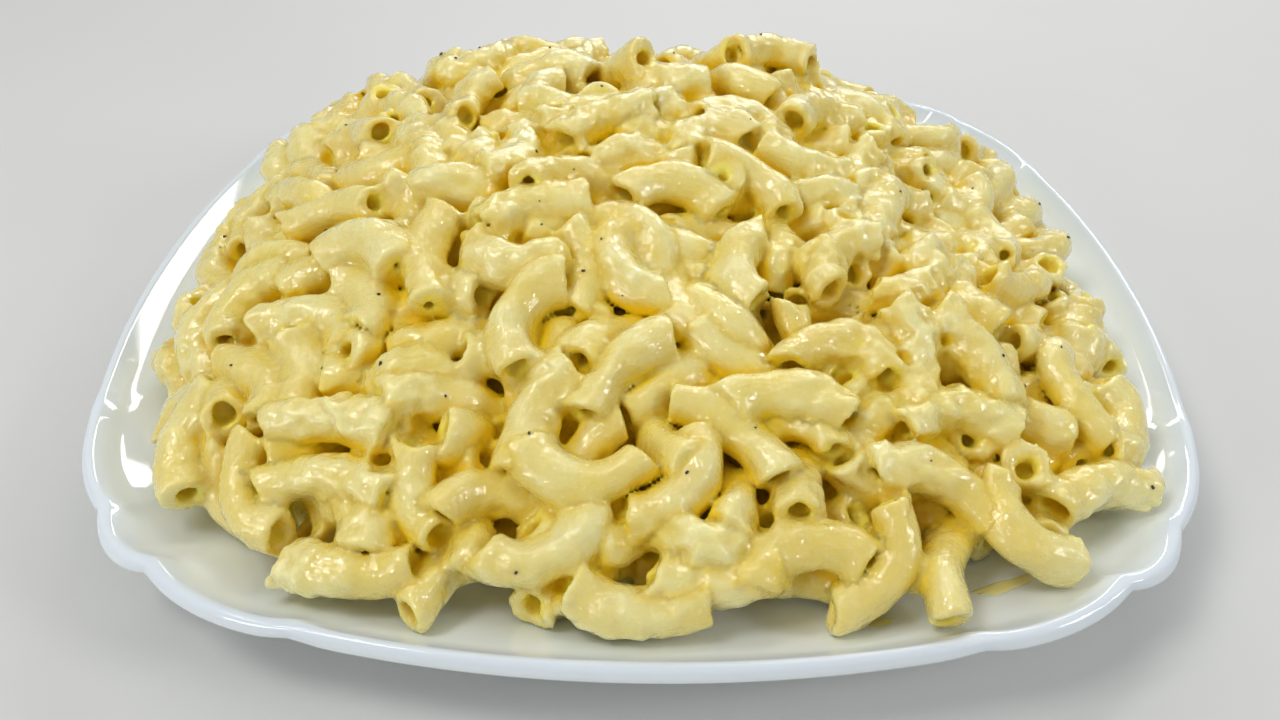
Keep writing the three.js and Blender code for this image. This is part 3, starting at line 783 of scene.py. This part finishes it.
def macaroni_colour(m, crowd):
    """Cream over pasta, paler on open tops as painted light, with painted shade of gold in creases
    and gaps and deep yellow at their bottom, and painted light of yellow in the bores.
    """
    pasta = m.mix(m.mark("tint"), *PASTA)
    cream = m.mix(m.noise(size=6.0), *CREAM)
    sauce_and_top_light = m.maths("MULTIPLY", m.mark("sauce"), COVER["sauce"])
    # Painted light: open tops, which the lamps light most, turn paler cream.
    sauce_and_top_light = m.maths("ADD", sauce_and_top_light, m.span(crowd, *CROWDED["painted_light_ends"], COVER["open"], 0.0))
    colour = m.mix(m.maths("MINIMUM", sauce_and_top_light, 1.0), pasta, cream)
    # Painted shade: gold along the lines where two tubes meet.
    colour = m.mix(m.maths("MULTIPLY", m.mark("crease"), COVER["crease"]), colour, CREASE_PAINTED_SHADE)
    # Painted shade: gold where the food crowds round a gap, as light bounced between the tubes
    # would colour it, and deep yellow at the bottom.
    colour = m.mix(m.span(crowd, *CROWDED["gap"]), colour, GAP_PAINTED_SHADE)
    colour = m.mix(m.span(crowd, *CROWDED["deep"]), colour, DEEP_PAINTED_SHADE)
    # Painted light: brighter yellow in the bores, for light that comes through the thin walls.
    return m.mix(m.maths("MULTIPLY", m.mark("bore"), COVER["bore"]), colour, BORE_PAINTED_LIGHT)


def macaroni_relief(m):
    """Lumps, fine lines along each elbow and grain, and wrinkles that only the coat has."""
    body = m.bump(m.noise(size=2.4, detail=1.0), depth=0.35, strength=0.8)
    lines = m.noise(size=1.0, place=m.mark("unbent", "Vector"), stretch=(0.22, 1.0, 1.0))
    body = m.bump(lines, depth=0.16, strength=0.7, normal=body)
    grain = m.noise(size=0.7, detail=3.0, roughness=0.55)
    wrinkle = m.maths("SUBTRACT", m.noise(size=1.4, detail=1.0, distortion=0.6), 0.5)
    wrinkle = m.span(m.maths("ABSOLUTE", wrinkle, 0.0), 0.0, 0.1, 1.0, 0.0)
    film = m.bump(m.noise(size=1.2, detail=1.5), depth=0.34, strength=0.8, normal=body)
    m.look({
        "Normal": m.bump(grain, depth=0.08, strength=0.5, normal=body),
        "Coat Normal": m.bump(wrinkle, depth=0.14, strength=0.8, normal=film),
    })


def macaroni_material():
    m = Shade("sauced_macaroni")
    crowd = m.mark("deep")
    m.look({
        "Base Color": macaroni_colour(m, crowd),
        "Roughness": m.span(m.noise(size=2.2, detail=3.0), *NOISE_ENDS, 0.16, 0.34),
        "IOR": 1.45,
        "Specular IOR Level": m.span(crowd, *CROWDED["dull"], 0.5, 0.06),
        "Coat Weight": m.span(crowd, *CROWDED["dull"], 1.0, 0.06),
        "Coat IOR": 1.6,
        "Coat Roughness": 0.06,
        "Subsurface Weight": 1.0,
        "Subsurface Radius": (1.0, 0.9, 0.3),
        "Subsurface Scale": 1.3 * MM,
    })
    macaroni_relief(m)
    return m.material


def glass_material():
    m = Shade("opal_glass")
    m.look({
        "Base Color": m.mix(m.mark("lip"), m.mix(m.noise(size=60.0), *GLASS), GLASS_LIP),
        "Roughness": m.span(m.noise(size=14.0, detail=3.0), *NOISE_ENDS, 0.04, 0.09),
        "Normal": m.bump(m.noise(size=30.0, detail=1.0), depth=0.12, strength=0.5),
        "IOR": 1.52,
        "Subsurface Weight": 0.5,
        "Subsurface Radius": (1.0, 0.9, 0.8),
        "Subsurface Scale": 2.0 * MM,
    })
    return m.material


def smear_material():
    m = Shade("sauce_smear")
    m.look({
        "Base Color": m.mix(m.noise(size=3.0), *SMEAR_CREAM),
        "Roughness": 0.16,
        "Normal": m.bump(m.noise(size=1.2), depth=0.1, strength=0.6),
    })
    return m.material


def plain_material(name, tones, size, roughness):
    m = Shade(name)
    m.look({"Base Color": m.mix(m.noise(size), *tones), "Roughness": roughness})
    return m.material


# ---- camera and light

# Degrees, mm and the photo's pixels. The camera looks at a point of the table's plane.
CAMERA = dict(
    yaw=-0.23, elevation=37.67, distance=273.64, aim=(-0.56, -14.32), roll=0.85,
    focal_px=1053.47, frame_px=1280, sensor=36.0,
)
WORLD = dict(colour=(0.96, 0.985, 1.0, 1), strength=0.31)
LIT_AT = (0, 0, 0.03)
# Area lights: name, place and sides in metres, watts and colour.
LIGHTS = [
    ("key", (-0.45, -0.2, 0.85), (0.3, 0.3), 2.5, (1.0, 0.99, 0.97)),
    ("window", (-0.65, -0.7, 0.35), (0.26, 0.22), 1.8, (1.0, 1.0, 1.0)),
    ("fill", (0.75, -0.3, 0.5), (0.22, 0.22), 1.8, (0.98, 0.99, 1.0)),
    ("back", (0.2, 0.8, 0.52), (0.9, 0.11), 3.3, (1.0, 1.0, 1.0)),
    ("strip", (-0.1, 0.25, 0.85), (0.9, 0.03), 1.2, (1.0, 1.0, 1.0)),
]
FLOOR = dict(half=1500.0, height=-0.05)


def make_camera():
    c = CAMERA
    elevation, roll, yaw = (math.radians(c[key]) for key in ("elevation", "roll", "yaw"))
    back = Vector((0, -math.cos(elevation), math.sin(elevation)))
    side = Vector((1, 0, 0))
    up = Vector((0, math.sin(elevation), math.cos(elevation)))
    across = side * math.cos(roll) + up * math.sin(roll)
    upward = up * math.cos(roll) - side * math.sin(roll)
    place = (Vector((*c["aim"], 0)) + back * c["distance"]) * MM
    stance = Matrix((across, upward, back)).transposed().to_4x4()
    stance.translation = place
    data = bpy.data.cameras.new("camera")
    data.sensor_width = c["sensor"]
    data.lens = c["focal_px"] / c["frame_px"] * c["sensor"]
    data.clip_start = 0.01
    camera = bpy.data.objects.new("camera", data)
    camera.matrix_world = Matrix.Rotation(-yaw, 4, "Z") @ stance
    bpy.context.scene.collection.objects.link(camera)
    bpy.context.scene.camera = camera


def area_light(name, at, size, watts, colour):
    data = bpy.data.lights.new(name, "AREA")
    data.shape = "RECTANGLE"
    data.size, data.size_y = size
    data.energy = watts
    data.color = colour
    light = bpy.data.objects.new(name, data)
    light.location = at
    light.rotation_euler = (Vector(LIT_AT) - Vector(at)).to_track_quat("-Z", "Y").to_euler()
    bpy.context.scene.collection.objects.link(light)


def make_lights():
    world = bpy.data.worlds.new("studio")
    world.use_nodes = True
    background = world.node_tree.nodes["Background"]
    background.inputs["Color"].default_value = WORLD["colour"]
    background.inputs["Strength"].default_value = WORLD["strength"]
    bpy.context.scene.world = world
    for light in LIGHTS:
        area_light(*light)


def make_floor():
    corners = np.array([[-1, -1, 0], [1, -1, 0], [1, 1, 0], [-1, 1, 0]]) * FLOOR["half"]
    corners[:, 2] = FLOOR["height"]
    material = plain_material("floor", FLOOR_GREY, size=80.0, roughness=0.6)
    floor = new_object("floor", corners, np.array([[0, 1, 2, 3]]), material)


# ---- plate

EDGE_STEPS = [22, 14, 22, 44]  # points along each lobe beside a corner, and along a side
LIP_COLOUR = dict(start=17.0, rise=2.2)  # heights between which the lip's colour sets in
# Where the plate's rings are, as shares of its reach, along the glass's top and underside.
TOP_RINGS = [
    0.15, 0.35, 0.5, 0.56, 0.6, 0.64, 0.68, 0.72,
    0.76, 0.8, 0.83, 0.86, 0.89, 0.92, 0.94, 0.955,
]
UNDER_RINGS = [0.95, 0.92, 0.88, 0.84, 0.8, 0.76, 0.72, 0.68, 0.64]
# The lip's roll, as shares of its size: how far in from the edge, and down from the crest.
LIP_RINGS = [
    (1.5, 0.25), (1.2, 0.07), (0.9, 0.0), (0.6, 0.09), (0.35, 0.28), (0.2, 0.5),
    (0.08, 0.82), (0.0, 1.2), (0.1, 1.52), (0.3, 1.8), (0.6, 2.0),
]


def notch_marks():
    marks = []
    for diagonal in (45, 135, 225, 315):
        for notch, side in (("soft", -1), ("sharp", -1), ("sharp", 1), ("soft", 1)):
            n = PLATE[notch + "_notch"]
            angle = math.radians(diagonal + side * n["from_diagonal"])
            marks.append([n["reach"] * math.cos(angle), n["reach"] * math.sin(angle)])
    return np.array(marks)


def bowed_edge(start, end, rise, steps):
    middle = (start + end) / 2
    pull = middle + middle / np.linalg.norm(middle) * 2 * rise
    t = np.arange(steps)[:, None] / steps
    return (1 - t) ** 2 * start + 2 * t * (1 - t) * pull + t**2 * end


def plate_outline():
    soft = PLATE["soft_notch"]
    corner = soft["reach"] * math.cos(math.radians(45 - soft["from_diagonal"]))
    side_rise = PLATE["side_reach"] - corner
    marks = notch_marks()
    rises = [PLATE["lobe_rise"], PLATE["corner_lobe_rise"], PLATE["lobe_rise"], side_rise]
    edges = []
    for i, mark in enumerate(marks):
        after = marks[(i + 1) % len(marks)]
        edges.append(bowed_edge(mark, after, rises[i % 4], EDGE_STEPS[i % 4]))
    return np.concatenate(edges)


def plate_profile():
    """Shares of the reach, and heights, over the top, round the lip and under to the foot."""
    p = PLATE
    roll = p["lip_roll"] / p["side_reach"]
    profile = [(share, glass_top(share)) for share in TOP_RINGS]
    profile += [(1 - s * roll, p["height"] - z * p["lip_roll"]) for s, z in LIP_RINGS]
    profile += [(share, glass_top(share) - p["glass"]) for share in UNDER_RINGS]
    foot, inner, flare = p["foot_outer"], p["foot_inner"], p["foot_flare"]
    corner, up = p["foot_round"]
    profile += [(foot + flare, p["foot_height"]), (foot + corner, up), (foot, 0.0)]
    profile += [(inner, 0.0), (inner - corner, up), (inner - flare, p["foot_height"])]
    return profile


def plate_rings():
    """Round shapes at the well that turn into the outline towards the lip, with creases."""
    outline = plate_outline()
    angle = np.arctan2(outline[:, 1], outline[:, 0])
    body = np.stack([np.cos(angle), np.sin(angle)], 1) * body_reach(angle)[:, None]
    nearest = np.linalg.norm(outline[:, None] - notch_marks(), axis=2).min(1)
    start = PLATE["crease_start"]
    rings = []
    for share, z in plate_profile():
        in_rim = float(np.clip((share - start) / (1 - start), 0, 1)) ** 2
        flat = (body + (outline - body) * in_rim) * share
        ridge = PLATE["crease_height"] * in_rim * np.exp(-((nearest / PLATE["crease_width"]) ** 2))
        height = np.minimum(z + ridge, PLATE["height"] + PLATE["crease_over_lip"] * ridge)
        rings.append(np.column_stack([flat, height]))
    return rings


def make_plate():
    middle_top, middle_under = (0, 0, glass_top(0.0)), (0, 0, PLATE["foot_height"])
    points, faces = ringed_solid(plate_rings(), middle_top, middle_under)
    plate = object_of_lists("opal_plate", points, faces, glass_material())
    lip = np.clip((points[:, 2] - LIP_COLOUR["start"]) / LIP_COLOUR["rise"], 0, 1)
    layer = plate.data.attributes.new("lip", "FLOAT", "POINT")
    layer.data.foreach_set("value", lip.astype(np.float32))
    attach(plate, "root")
    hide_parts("plate")


# ---- macaroni


def vertex_marks(field, elbows, points, normals, nearest, second, owner, wet, crowd):
    """The elbow that each vertex is nearest to, or -1, and what the material reads there."""
    at = np.rint((points - field.low) / field.step).astype(int)
    at = np.clip(at, 0, np.array(field.shape) - 1)
    who = owner[tuple(at.T)]
    raw = field.sample(nearest, points)
    # Where the two nearest tubes are about as near: the mask for the painted shade in creases.
    crease = np.exp(-(((field.sample(second, points) - raw) / CREASE) ** 2))
    wetness = field.sample(wet, points)
    count = len(elbows)
    index = np.where(who < 0, count, who)

    def of_nearest(key, otherwise):
        return np.array([e[key] for e in elbows] + [otherwise])[index]

    axes = of_nearest("axes", np.eye(3))
    local = np.einsum("nij,nj->ni", axes, points - of_nearest("at", np.zeros(3)))
    across, up = local[:, 1] + of_nearest("shift", 0.0), local[:, 2]
    bend_radius = of_nearest("bend_radius", 1.0)
    outward = np.hypot(local[:, 0], across) - bend_radius
    off_centre = np.hypot(outward, up) / of_nearest("radius", 1.0)
    along = np.arctan2(local[:, 0], across) * bend_radius
    apart = 50.0  # so that no two elbows have the same lines
    unbent = np.column_stack([along, outward, up]) + apart * index[:, None]
    # The mask for the painted light in the bores.
    edge = MARK["bore_edge"]
    bore = np.clip((TUBE["bore"] + edge - off_centre) / edge, 0, 1) * (index < count)
    sauce = np.clip((raw - MARK["bare"]) / MARK["full"], 0, 1)
    sauce = MARK["thick_share"] * sauce + MARK["wet_share"] * wetness - MARK["dry_loss"]
    # How crowded the food is just off the surface: the mask for the painted shade in gaps and the
    # painted light on open tops.
    deep = field.sample(crowd, points + CROWD["out"] * normals)
    rng = np.random.default_rng(SEED)
    tint = rng.uniform(0, 1, count + 1)[index]
    marks = dict(sauce=np.clip(sauce, 0, 1), bore=bore, deep=deep, tint=tint, crease=crease)
    return who, dict(marks, unbent=unbent * MM)


def close_at_rim(values):
    """Makes the field end in air, so that its surface is closed."""
    for axis in range(3):
        layers = np.moveaxis(values, axis, 0)
        layers[[0, -1]] = np.abs(layers[[0, -1]]) + 0.1


def piece_numbers(elbows, who, quads, vertices):
    """Which piece each quad is in: elbows stay whole, and pieces are sectors of like size."""
    order = np.argsort([math.atan2(e["at"][1], e["at"][0]) for e in elbows])
    home = who[quads[:, 0]]
    share = np.bincount(home[home >= 0], minlength=len(elbows))
    running = np.cumsum(share[order]) / share.sum()
    piece_of = np.zeros(len(elbows) + 1, int)
    piece_of[order] = np.minimum((running * PIECES).astype(int), PIECES - 1)
    centre = vertices[quads].mean(1)
    angle = np.arctan2(centre[:, 1], centre[:, 0])
    some = np.sort(angle[::50])
    rank = np.interp(angle, some, np.linspace(0, PIECES - 1e-6, len(some)))
    return np.where(home < 0, rank.astype(int), piece_of[home])


def make_macaroni():
    rng = np.random.default_rng(SEED)
    elbows = lay_heap()
    field = Field(**GRID)
    values, nearest, second, owner, wet = heap_field(field, elbows, rng)
    close_at_rim(values)
    vertices, quads = surface_of(field, values)
    kept = largest_body(len(vertices), quads)
    quads = quads[kept[quads].all(1)]
    normals = gradient_at(field, values, vertices)
    crowd = crowding(field, values)
    who, marks = vertex_marks(field, elbows, vertices, normals, nearest, second, owner, wet, crowd)
    material = macaroni_material()
    piece = piece_numbers(elbows, who, quads, vertices)
    for number in range(PIECES):
        mine = quads[piece == number]
        used, faces = np.unique(mine, return_inverse=True)
        part = new_object(
            f"macaroni_{number + 1}", vertices[used], faces.reshape(mine.shape), material,
            normals[used], {key: value[used] for key, value in marks.items()},
        )
        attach(part, "root")
        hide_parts("macaroni_heap")
    return vertices, normals, marks


# ---- flecks and smears

PEPPER = dict(
    count=60,
    half=(0.14, 0.36),  # half of a chip's middle side
    form=(1.5, 1.0, 0.6),  # its sides, as shares of the middle one
    worn=0.5,  # how far in a corner may be, as a share
    upward=0.25,  # least slope of the sauce under it, as the upward part of its normal
    open_below=0.24,  # how crowded it may be there
    raised=0.1,
)
# Sauce wiped on the plate, in mm: x, y, half length, half width, and degrees that it is turned.
SMEARS = [(44, -108, 3.6, 1.8, 15), (53, -107, 5.4, 1.7, 5), (70, -98, 7.5, 1.6, 20)]
SMEAR = dict(thick=0.3, sunk=0.15, rings=8, around=48, ragged=0.14)


def make_pepper(vertices, normals, marks):
    """Chips of pepper on open sauce that faces up."""
    p = PEPPER
    rng = np.random.default_rng(SEED + 1)
    shows = (normals[:, 2] > p["upward"]) & (marks["deep"] < p["open_below"])
    spots = rng.choice(np.nonzero(shows)[0], p["count"], replace=False)
    cube = np.array(list(np.ndindex(2, 2, 2))) * 2.0 - 1
    sides = np.array([
        [0, 1, 3, 2], [4, 6, 7, 5], [0, 4, 5, 1],
        [2, 3, 7, 6], [0, 2, 6, 4], [1, 5, 7, 3],
    ])
    points, faces = [], []
    for spot in spots:
        up = normals[spot]
        across = np.cross(up, rng.normal(size=3))
        across /= np.linalg.norm(across)
        half = rng.uniform(*p["half"]) * np.array(p["form"])
        corners = cube * half * rng.uniform(p["worn"], 1.0, cube.shape)
        corners = corners @ np.stack([across, np.cross(up, across), up])
        faces.append(sides + len(cube) * len(faces))
        points.append(corners + vertices[spot] + p["raised"] * up)
    points, faces = np.concatenate(points), np.concatenate(faces)
    material = plain_material("black_pepper", PEPPER_BLACK, size=0.25, roughness=0.32)
    flecks = new_object("pepper_flecks", points, faces, material)
    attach(flecks, "root")


def smear_solid(x, y, length, width, turn):
    """A thin ragged drop that lies on the plate, its underside just in the glass."""
    thick, sunk, rings = SMEAR["thick"], SMEAR["sunk"], SMEAR["rings"]
    angle = 2 * math.pi * np.arange(SMEAR["around"]) / SMEAR["around"]
    ragged = 1 + SMEAR["ragged"] * (np.sin(3 * angle + x) + 0.6 * np.sin(7 * angle + y))
    edge = np.stack([length * np.cos(angle) * ragged, width * np.sin(angle) * ragged], 1)
    c, s = math.cos(math.radians(turn)), math.sin(math.radians(turn))
    edge = edge @ np.array([[c, s], [-s, c]])
    shares = [k / rings for k in range(1, rings + 1)]
    over = [(share, thick * math.sqrt(1 - share**2)) for share in shares]
    under = [(share, -sunk) for share in shares[-2::-1]]
    layers = []
    for share, rise in over + under:
        flat = edge * share + (x, y)
        layers.append(np.column_stack([flat, plate_top_at(*flat.T) + rise]))
    glass = float(plate_top_at(x, y))
    return ringed_solid(layers, (x, y, glass + thick), (x, y, glass - sunk))


def make_smears():
    points, faces = [], []
    first = 0
    for smear in SMEARS:
        more, sides = smear_solid(*smear)
        points.append(more)
        faces += [[corner + first for corner in side] for side in sides]
        first += len(more)
    points = np.concatenate(points)
    smears = object_of_lists("sauce_smears", points, faces, smear_material())
    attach(smears, "root")


bpy.context.scene.view_settings.view_transform = "Standard"
make_camera()
make_lights()
make_floor()
make_plate()
make_pepper(*make_macaroni())
make_smears()
